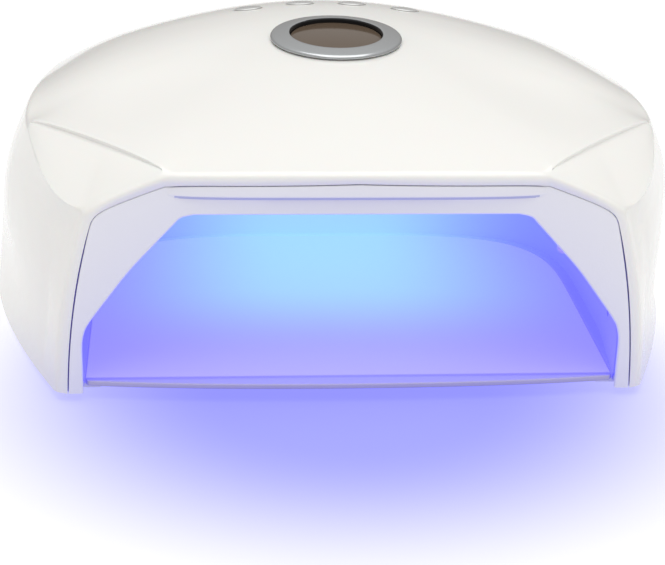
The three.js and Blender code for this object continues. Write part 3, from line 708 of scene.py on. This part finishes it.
def make_shell():
    shell = place("shell_cover", skin)
    thicken(shell, WALL)

    def openings(bm):
        oval(bm, 0, RING_Y, 78, 98, RING_INNER + 2.1, sides=96)
        for x, y in BUTTONS:
            oval(bm, x, y, 80, 100, BUTTON_HOLE_R, BUTTON_STRETCH)
        turn = (math.pi / 2, 0, 0)
        lathe(bm, [(INLET_HOLE_R, 0), (INLET_HOLE_R, 30)], 48, at=moved(JACK_X, 110, JACK_Z, turn))

    cut_away(shell, "shell_openings", openings)

    bm = bmesh.new()
    bm.from_mesh(shell.data)
    posts = [(x, y, DECK_Z, *POST_RADII) for x, y in POSTS]
    posts += [(x, y, BOARD_TOP + GAP, *BOARD_POST_RADII) for x, y in BOARD_POSTS]
    for x, y, foot_z, r, bore in posts:
        reach = min(roof_at(x + r, y), roof_at(x - r, y), roof_at(x, y + r)) - POST_COVER - foot_z
        tube = [(bore, 0), (r, 0), (r, reach), (bore, reach)]
        for side in (1, -1):
            lathe(bm, tube, 24, closed=True, at=moved(side * x, y, foot_z))
    mesh = bpy.data.meshes.new("shell_cover")
    bm.to_mesh(mesh)
    bm.free()
    shell.data = mesh
    mesh.materials.append(MAT["shell"])
    shade(mesh, 32)
    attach(shell, "housing")
    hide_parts("top_shell")


make_shell()


# ---------------------------------------------------------------- light chamber and front frame
# right half of the opening: half width, height, and how far back the chamber reaches there
SECTION = through([(82, DECK_Z, 27), (82, 11, 25.5), (82, 18, 24), (81.3, 22.3, 22), (79.5, 26, 20),
                   (73.6, 34.2, 15.5), (67.6, 42.2, 11), (61.1, 49.5, 6.5), (54.6, 56.6, 2),
                   (52.2, 59, -2), (48.5, CEILING_Z, -7)], 4)


def rounded_back(half, back, steps=26):
    a = even(steps) * math.pi / 2
    x = half * np.sqrt(np.maximum(0, np.cos(a)))
    return np.column_stack([x, CORNER_Y + (back - CORNER_Y) * np.sqrt(np.sin(a))])


def chamber_row(half, z, back):
    low = 1 - smooth(z, 20, 34)
    ys = np.linspace(FRONT_Y + 0.8, CORNER_Y, 16)
    swell = BULGE * low * smooth(ys, FRONT_Y, -60)
    side = np.column_stack([half + swell, ys])
    plan = joined(side, rounded_back(half + BULGE * low, back))
    return np.column_stack([plan, np.full(len(plan), z)])


def tray_edge(grow):
    corner = rounded_back(TRAY_HALF_W + grow, TRAY_BACK_Y + grow)
    return np.vstack([[(TRAY_HALF_W + grow, FRONT_Y + 1.2)], corner])


def frame_face():
    """The flat front, from its outer edge round a small fillet into the opening."""
    side = joined(parting_side(even(24)), parting_turn)[:, (0, 2)]
    brow = parting_brow(even(BROW))[:, (0, 2)]

    def shrink(line, scale):
        gap = scale * GAP * lerp(0.3, 1, 1 - smooth(line[:, 1], 45, 60))
        return line - np.column_stack([gap * np.minimum(1, line[:, 0] / 10), gap])

    opening = np.vstack([[(82, BASE_Z)], SECTION[:, :2]])
    top = np.array([(x, CEILING_Z) for x in np.linspace(opening[-1][0], 0, 9)])
    outer, behind = [joined(resampled(shrink(side, scale), len(opening) - 1),
                            resampled(shrink(brow, scale), 8)) for scale in (1, -0.3)]
    outer[0, 1] = BASE_Z
    behind[0, 1] = BASE_Z
    inner = joined(opening, top)
    along = np.gradient(inner, axis=0)
    normal = np.column_stack([along[:, 1], -along[:, 0]])
    normal /= np.linalg.norm(normal, axis=1)[:, None]
    normal[-len(top):] = (0, 1)
    fillet = 0.8
    face = lerp(outer, inner, 0.02)
    rows = [np.column_stack([line[:, 0], np.full(len(line), FRONT_Y + y), line[:, 1]])
            for line, y in ((behind, 1.9), (outer, 1.5), (outer, 0.25), (face, 0))]
    for a in even(5) * math.pi / 2:
        edge = inner + normal * fillet * (1 - math.sin(a))
        y = FRONT_Y + fillet * (1 - math.cos(a))
        rows.append(np.column_stack([edge[:, 0], np.full(len(edge), y), edge[:, 1]]))
    return rows


def brow_ledge(bm):
    """The rounded bar under the hood, between the shell's lip and the flat frame."""
    front = parting_brow(even(24))
    front = np.vstack([front, front[-2::-1] * (-1, 1, 1)])
    loops = []
    for x, y, z in front:
        nose = min(y + 0.1, FRONT_Y - 0.05)
        top = z - GAP
        profile = rounded([(FRONT_Y + 1, BROW_Z), (nose + 0.5, BROW_Z), (nose, BROW_Z + 1.2),
                           (nose, top), (FRONT_Y + 1, top)], 0.3)
        loops.append([(x * 0.985, py, pz) for py, pz in profile])
    add_loops(bm, loops)


LED_BOARDS = {
    "ceiling": dict(size=(84, 66), at=(0, -56, 62.3), turn=(0, 0, 0),
                    leds=[(x, y) for x in (-33, -11, 11, 33) for y in (-24, 0, 24)]),
    "right": dict(size=(22, 64), at=(69.7, -58, 43.6), turn=(0, 0.887, 0),
                  leds=[(0, y) for y in (-22, 0, 22)]),
    "left": dict(size=(22, 64), at=(-69.7, -58, 43.6), turn=(0, -0.887, 0),
                 leds=[(0, y) for y in (-22, 0, 22)]),
    "rear": dict(size=(62, 20), at=(0, 13.6, 43.6), turn=(-1.02, 0, 0),
                 leds=[(x, 0) for x in (-22, 0, 22)]),
}
LED_R, LED_LENGTH, BOARD_T = 2.5, 5.2, 1.6
DOME_R, COLLAR_Z = 2.2, -1.4                # a bead's dome, and where its collar ends
LED_HOLE_R = LED_R + 0.5
SENSOR_HOLE_R = 2.9
RAIL_GAP, RAIL_REACH = 0.4, 0.9             # from the tray's edge, and into the chamber wall


def make_liner():
    sheet = Sheet()
    rows = [chamber_row(*row) for row in SECTION]
    edge = rows[-1]
    rows += [edge * (t, 1, 1) for t in (0.8, 0.6, 0.4, 0.2, 0)]
    sheet.grid(rows)
    chamber = place("chamber_wall", sheet.mirror().mesh("chamber"))
    flip_towards(chamber, Vector((0, -50, 25)) * MM)
    thicken(chamber, LINER_WALL)

    def holes(bm):
        for board in LED_BOARDS.values():
            matrix = moved(*board["at"], board["turn"])
            for x, y in board["leds"]:
                lathe(bm, [(LED_HOLE_R, -7), (LED_HOLE_R, 1)], 24, at=matrix @ moved(x, y))
        turn = (0, math.pi / 2, 0)
        for side in (1, -1):
            lathe(bm, [(SENSOR_HOLE_R, -5), (SENSOR_HOLE_R, 5)], 32,
                  at=moved(side * SENSOR_X, SENSOR_Y, SENSOR_Z, turn))

    cut_away(chamber, "chamber_holes", holes)
    face = place("frame_face", Sheet().grid(frame_face(), (0, 0, 30)).mirror().mesh("frame"))
    thicken(face, LINER_WALL)

    def rest(bm):
        bm.from_mesh(chamber.data)
        bm.from_mesh(face.data)
        brow_ledge(bm)
        half, floor_z, back = SECTION[0]
        wall = chamber_row(half + RAIL_REACH, floor_z, back + RAIL_REACH)[:, :2]
        rail = np.vstack([wall, tray_edge(RAIL_GAP)[::-1]])
        levels = (DECK_Z, DECK_Z + TRAY_T - 0.1)
        for side in (1, -1):
            add_loops(bm, [[(side * x, y, z) for x, y in rail] for z in levels])

    mesh = solid_mesh("chamber_liner", rest)
    for spare in (chamber, face):
        bpy.data.objects.remove(spare)
    body = place("chamber_liner", mesh, MAT["liner"], MAT["brow_painted_shade"])
    # The brow bar's lower chamfer gets the painted shade line.
    for polygon in mesh.polygons:
        _, y, z = polygon.center / MM
        if y < FRONT_Y - 0.3 and BROW_Z - 0.1 < z < BROW_Z + 0.7:
            polygon.material_index = 1
    shade(mesh, 30)
    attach(body, "housing")
    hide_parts("inner_liner")


def flip_towards(obj, centre):
    """Turns a sheet's faces towards a point inside it."""
    facing = sum((p.center - centre).dot(p.normal) * p.area for p in obj.data.polygons)
    if facing > 0:
        obj.data.flip_normals()


make_liner()


# ---------------------------------------------------------------- lamp beads on their boards
def emitter(name, colour, strength):
    material, nodes, links, shader = nodes_of(name)
    place_in = nodes.new("ShaderNodeTexCoord").outputs["Object"]
    die = nodes.new("ShaderNodeTexVoronoi")
    die.inputs["Scale"].default_value = 700
    links.new(place_in, die.inputs["Vector"])
    ramp = nodes.new("ShaderNodeValToRGB")
    ramp.color_ramp.elements[0].color = (0.6, 0.55, 0.5, 1)
    ramp.color_ramp.elements[1].color = (0.2, 0.2, 0.6, 1)
    links.new(die.outputs["Distance"], ramp.inputs["Fac"])
    links.new(ramp.outputs["Color"], shader.inputs["Base Color"])
    shader.inputs["Roughness"].default_value = 0.08
    shader.inputs["Emission Color"].default_value = (*colour, 1)
    shader.inputs["Emission Strength"].default_value = strength
    return material


MAT["bead"] = emitter("lamp_bead", (0.16, 0.12, 1.0), 0.9)
MAT["bead_base"] = finish("bead_base", (0.8, 0.8, 0.78), 0.4, grain=2500, bump=0.1, patch=200, vary=0.05)


def make_led_board(side, board):
    width, depth = board["size"]
    placed = in_metres(moved(*board["at"], board["turn"]))

    def build(bm):
        corners = [(-width / 2, -depth / 2), (width / 2, -depth / 2), (width / 2, depth / 2),
                   (-width / 2, depth / 2)]
        verts = slab(bm, rounded(corners, 2, closed=True), 0, BOARD_T, 0.15)
        turn = even(6)[1:] * math.pi / 2
        dome = [(DOME_R * math.sin(a), -LED_LENGTH + DOME_R * (1 - math.cos(a))) for a in turn]
        dome = [(AXIS_R, -LED_LENGTH), *dome, (DOME_R, COLLAR_Z)]
        collar = [(DOME_R, COLLAR_Z), (LED_R, COLLAR_Z), (LED_R, 0.1), (DOME_R, 0.1)]
        for x, y in board["leds"]:
            verts += lathe(bm, dome, 20, at=moved(x, y), material=1)
            verts += lathe(bm, collar, 20, at=moved(x, y), material=2)
        bmesh.ops.transform(bm, matrix=placed, verts=[vert for vert in verts if vert.is_valid])

    name = f"{side}_lamp_board"
    piece = place(name, solid_mesh(name, build), MAT["led_board"], MAT["bead"], MAT["bead_base"])
    shade(piece.data)
    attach(piece, "housing")
    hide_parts(f"{side}_led_board")


for side_name, spec in LED_BOARDS.items():
    make_led_board(side_name, spec)


# ---------------------------------------------------------------- tray
def make_tray():
    front = bezier(point(TRAY_HALF_W - 1, -99.6, 0), point(60, -102.5, 0), point(30, -103.8, 0),
                   point(0, -103.8, 0), even(24))[:, :2]
    side = rounded([(TRAY_HALF_W - 1, -99.6), (TRAY_HALF_W, -98.6), (TRAY_HALF_W, CORNER_Y)], 1)
    back = rounded_back(TRAY_HALF_W, TRAY_BACK_Y, 40)
    half = np.vstack([front[::-1], side[1:-1], back])
    outline = np.vstack([half, half[-2:0:-1] * (-1, 1)])

    def build(bm):
        slab(bm, outline, DECK_Z, TRAY_T, 0.5, 4)

    def pockets(bm):
        for x in (-CATCH_X, CATCH_X):
            oval(bm, x, CATCH_Y, DECK_Z - 1, DECK_Z + POCKET_DEPTH, POCKET_R)

    tray = place("tray_plate", solid_mesh("tray_plate", build))
    cut_away(tray, "strike_pockets", pockets)
    tray.data.materials.append(MAT["tray"])
    shade(tray.data, 30)
    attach(tray, "tray_body")
    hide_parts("tray")


make_tray()


# ---------------------------------------------------------------- timer display
def make_display():
    ring_at = moved(0, RING_Y, roof_z(0, RING_Y), (RING_TILT, 0, 0))
    corners = [(RING_OUTER, -0.35), (RING_OUTER, 0.25), (RING_OUTER - 0.5, 0.8),
               (RING_OUTER - 1.4, 1.05), (RING_INNER + 1.2, 1.75), (RING_INNER + 0.3, 1.7),
               (RING_INNER, 1.3), (RING_INNER, -0.75), (RING_INNER + 0.9, -0.75),
               (RING_INNER + 0.9, -3.6), (RING_INNER + 1.8, -3.6), (RING_INNER + 1.8, -0.1)]
    glass = [(AXIS_R, -2.5), (15.8, -2.5), (16.1, -2.2), (16.1, -1.05), (15.3, -1.05), (15.3, 0.2),
             (AXIS_R, 0.2)]

    def build_ring(bm):
        lathe(bm, rounded(corners, 0.35, closed=True), 128, closed=True, at=ring_at)

    def build_glass(bm):
        lathe(bm, rounded(glass, 0.2, 3), 128, at=ring_at)

    ring = place("display_ring", solid_mesh("display_ring", build_ring), MAT["chrome"], MAT["ring_inner_black"])
    axis = Vector((0, RING_Y, roof_z(0, RING_Y))) * MM
    # The inner wall of the ring is coloured black.
    for polygon in ring.data.polygons:
        if (polygon.center - axis).xy.length < (RING_INNER + 0.25) * MM:
            polygon.material_index = 1
    window = place("display_glass", solid_mesh("display_glass", build_glass), MAT["window"])
    for piece, node, slot in ((ring, "display_bezel", "chrome_ring"),
                              (window, "display_window", "smoked_window")):
        shade(piece.data, 30)
        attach(piece, "housing")
        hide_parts(node)


make_display()


# ---------------------------------------------------------------- push buttons
def make_button(number, x, y):
    reach = 4
    slope_x = (roof_at(x + reach, y) - roof_at(x - reach, y)) / (2 * reach)
    slope_y = (roof_at(x, y + reach) - roof_at(x, y - reach)) / (2 * reach)
    z = roof_at(x, y)
    stem = PLUNGER_TOP + STEM_CLEARANCE - z
    edge = 0.1
    crown = [(CAP_R * math.cos(a), edge + CAP_CROWN * math.sin(a)) for a in even(9)[:-1] * math.pi / 2]
    profile = [(AXIS_R, stem), (1.4, stem), (1.6, stem + 0.2), (1.6, -5), (3.8, -5), (4, -4.8),
               (4, -3.4), (3.8, -3.2), (CAP_R, -3.2), *crown, (AXIS_R, edge + CAP_CROWN)]

    def build(bm):
        for vert in lathe(bm, profile, 48):
            vert.co.x *= CAP_STRETCH
            if vert.co.z > -4 * MM:            # the cap follows the roof's slope, and its stem doesn't
                vert.co.z += slope_x * vert.co.x + slope_y * vert.co.y
            vert.co += Vector((x, y, z)) * MM

    name = f"button_cap_{number}"
    cap = place(name, solid_mesh(name, build), MAT["button"])
    shade(cap.data, 40)
    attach(cap, f"button_body_{number}")
    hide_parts(f"button_{number}")


for index, (button_x, button_y) in enumerate(BUTTONS):
    make_button(index + 1, button_x, button_y)


# ---------------------------------------------------------------- feet and inlet
def make_foot(end, side, x, y):
    under = BASE_Z - GAP
    corners = [(AXIS_R, 0.35), (3.2, 0.35), (3.6, 0), (5.5, 0), (6, 0.5), (6, under - 0.4),
               (5.7, under), (1.9, under), (1.9, under + 2.6), (1.5, under + 3), (AXIS_R, under + 3)]

    def build(bm):
        lathe(bm, rounded(corners, 0.25, 3), 48, at=moved(x, y))

    name = f"rubber_foot_{end}_{side}"
    foot = place(name, solid_mesh(name, build), MAT["rubber"])
    shade(foot.data, 35)
    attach(foot, "housing")
    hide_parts(f"foot_{end}_{side}")


for end_name, (foot_x, foot_y) in FEET.items():
    make_foot(end_name, "right", foot_x, foot_y)
    make_foot(end_name, "left", -foot_x, foot_y)


def make_inlet():
    face = rear_at(JACK_X, JACK_Z) - JACK_RECESS
    turn = (-math.pi / 2, 0, 0)
    at = moved(JACK_X, face, JACK_Z, turn)
    barrel = [(2.75, 0), (3.1, 0.35), (4, 0.35), (4.2, 0), (4.2, -12), (2.75, -12)]
    pin = [(AXIS_R, -10), (1, -10), (1, -1.6), (0.6, -1), (AXIS_R, -1)]

    def build(bm):
        lathe(bm, barrel, 48, closed=True, at=at)
        lathe(bm, pin, 24, at=at, material=1)
        corners = [(-5.5, -4.5), (5.5, -4.5), (5.5, 4.5), (-5.5, 4.5)]
        block = slab(bm, rounded(corners, 0.6, closed=True), 0, 11, 0.3)
        bmesh.ops.translate(bm, verts=block, vec=Vector((JACK_X, face - 11.5, JACK_Z - 5.5)) * MM)

    def bore(bm):
        lathe(bm, [(2.7, -8.9), (2.7, 2)], 32, at=at)

    jack = place("inlet_jack", solid_mesh("inlet_jack", build), MAT["black"], MAT["steel"])
    cut_away(jack, "inlet_bore", bore)
    shade(jack.data, 35)
    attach(jack, "housing")
    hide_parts("dc_inlet")


# ---------------------------------------------------------------- carried-over CAD nodes
def refinish(prefixes, material, bevel=0.0):
    """Gives CAD nodes that no piece replaces a material and slightly rounded edges."""
    for name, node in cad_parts.items():
        if not name.startswith(tuple(prefixes)):
            continue
        node.data.materials.clear()
        node.data.materials.append(material)
        if bevel:
            modifier = node.modifiers.new("soft_edges", "BEVEL")
            modifier.width = bevel * MM
            modifier.segments = 2
            modifier.limit_method = "ANGLE"
            modifier.angle_limit = math.radians(40)


refinish(["base_plate"], MAT["base"], 0.25)
refinish(["control_board", "driver_board"], MAT["board"], 0.12)
refinish(["display_module", "sensor_", "switch_plunger"], MAT["black"], 0.15)
refinish(["base_screw", "driver_screw", "board_screw", "tray_magnet", "tray_strike"], MAT["steel"], 0.08)
refinish(["inlet_wire", "led_wire"], MAT["wire"])


# ---------------------------------------------------------------- floor, light and camera
def make_floor():
    """A pale floor with the lamp's violet spill painted on it in front of the lamp, as colour and glow.
    """
    bm = bmesh.new()
    bmesh.ops.create_grid(bm, x_segments=8, y_segments=8, size=3)
    mesh = bpy.data.meshes.new("floor")
    bm.to_mesh(mesh)
    bm.free()
    material, nodes, links, shader = nodes_of("pale_floor_painted_spill")
    mapping = nodes.new("ShaderNodeMapping")
    spill_half_width, spill_depth, spill_centre = 0.155, 0.135, -0.1
    mapping.inputs["Location"].default_value = (0, -spill_centre / spill_depth, 0)
    mapping.inputs["Scale"].default_value = (1 / spill_half_width, 1 / spill_depth, 1)
    links.new(nodes.new("ShaderNodeTexCoord").outputs["Object"], mapping.inputs["Vector"])
    far = nodes.new("ShaderNodeVectorMath")
    far.operation = "LENGTH"
    links.new(mapping.outputs["Vector"], far.inputs[0])
    ramp = nodes.new("ShaderNodeValToRGB")
    ramp.color_ramp.interpolation = "EASE"
    ramp.color_ramp.elements[0].color = (0.35, 0.355, 1, 1)
    ramp.color_ramp.elements[0].position = 0.25
    ramp.color_ramp.elements[1].color = (1, 1, 1, 1)
    ramp.color_ramp.elements[1].position = 1
    links.new(far.outputs["Value"], ramp.inputs["Fac"])
    # Painted light: the base colour is dimmed and the glow carries most of the floor's colour, so the
    # painted spill also fills the shade under the lamp.
    dim = nodes.new("ShaderNodeMix")
    dim.data_type = "RGBA"
    dim.blend_type = "MULTIPLY"
    dim.inputs["Factor"].default_value = 1
    dim.inputs["B"].default_value = (0.35, 0.35, 0.35, 1)
    links.new(ramp.outputs["Color"], dim.inputs["A"])
    links.new(dim.outputs["Result"], shader.inputs["Base Color"])
    links.new(ramp.outputs["Color"], shader.inputs["Emission Color"])
    lit = nodes.new("ShaderNodeMapRange")          # it shows brighter than it lights the lamp
    lit.inputs["To Min"].default_value = 0.62
    lit.inputs["To Max"].default_value = 0.75
    links.new(nodes.new("ShaderNodeLightPath").outputs["Is Camera Ray"], lit.inputs["Value"])
    links.new(lit.outputs["Result"], shader.inputs["Emission Strength"])
    shader.inputs["Roughness"].default_value = 0.6
    floor = place("floor", mesh, material)


def area_light(name, at, towards, size, watts, colour=(1, 1, 1), seen=True):
    light = bpy.data.lights.new(name, "AREA")
    light.shape = "RECTANGLE"
    light.size, light.size_y = size
    light.energy = watts
    light.color = colour
    obj = bpy.data.objects.new(name, light)
    obj.location = at
    obj.rotation_euler = (Vector(towards) - Vector(at)).to_track_quat("-Z", "Y").to_euler()
    obj.visible_camera = False
    obj.visible_glossy = seen
    bpy.context.scene.collection.objects.link(obj)


def make_light():
    world = bpy.data.worlds.new("studio")
    world.use_nodes = True
    nodes, links = world.node_tree.nodes, world.node_tree.links
    height = nodes.new("ShaderNodeSeparateXYZ")
    links.new(nodes.new("ShaderNodeTexCoord").outputs["Generated"], height.inputs["Vector"])
    sky = nodes.new("ShaderNodeValToRGB")
    sky.color_ramp.elements[0].color = (0.52, 0.5, 0.485, 1)
    sky.color_ramp.elements[1].color = (1.1, 1.1, 1.09, 1)
    sky.color_ramp.elements[1].position = 0.8
    links.new(height.outputs["Z"], sky.inputs["Fac"])
    links.new(sky.outputs["Color"], nodes["Background"].inputs["Color"])
    nodes["Background"].inputs["Strength"].default_value = 0.73
    bpy.context.scene.world = world
    bpy.context.scene.view_settings.view_transform = "Standard"
    area_light("key_overhead", (0.05, -0.15, 1.4), (0, 0, 0), (1.4, 1.4), 8.8)
    area_light("fill_front", (0.3, -1.5, 0.8), (0, 0, 0.05), (1.2, 0.8), 2, seen=False)
    violet, cyan = (0.42, 0.38, 1.0), (0.32, 0.7, 1.0)
    area_light("chamber_violet", (0, -0.075, 0.058), (0, -0.075, 0), (0.14, 0.05), 0.016, violet, False)
    area_light("chamber_cyan", (0, -0.012, 0.052), (0, -0.02, 0), (0.1, 0.03), 0.009, cyan, False)


def make_camera():
    """The photograph's viewpoint: in front of the opening, 22 degrees up and a little towards -X."""
    yaw, elevation, roll = math.radians(5.2), math.radians(22.11), math.radians(1.61)
    distance = 0.644
    target = Vector((0.00193, -0.003, -0.0014))
    ahead = Vector((math.sin(yaw) * math.cos(elevation), math.cos(yaw) * math.cos(elevation),
                    -math.sin(elevation)))
    right = Vector((math.cos(yaw), -math.sin(yaw), 0))
    up = right.cross(ahead)
    turned_right = right * math.cos(roll) + up * math.sin(roll)
    turned_up = up * math.cos(roll) - right * math.sin(roll)
    camera = bpy.data.objects.new("camera", bpy.data.cameras.new("camera"))
    camera.data.sensor_width = 36
    camera.data.lens = 97.1
    axes = Matrix((turned_right, turned_up, -ahead)).transposed()
    camera.matrix_world = Matrix.Translation(target - ahead * distance) @ axes.to_4x4()
    bpy.context.scene.collection.objects.link(camera)
    bpy.context.scene.camera = camera


make_inlet()
make_floor()
make_light()
make_camera()

bpy.context.view_layer.update()
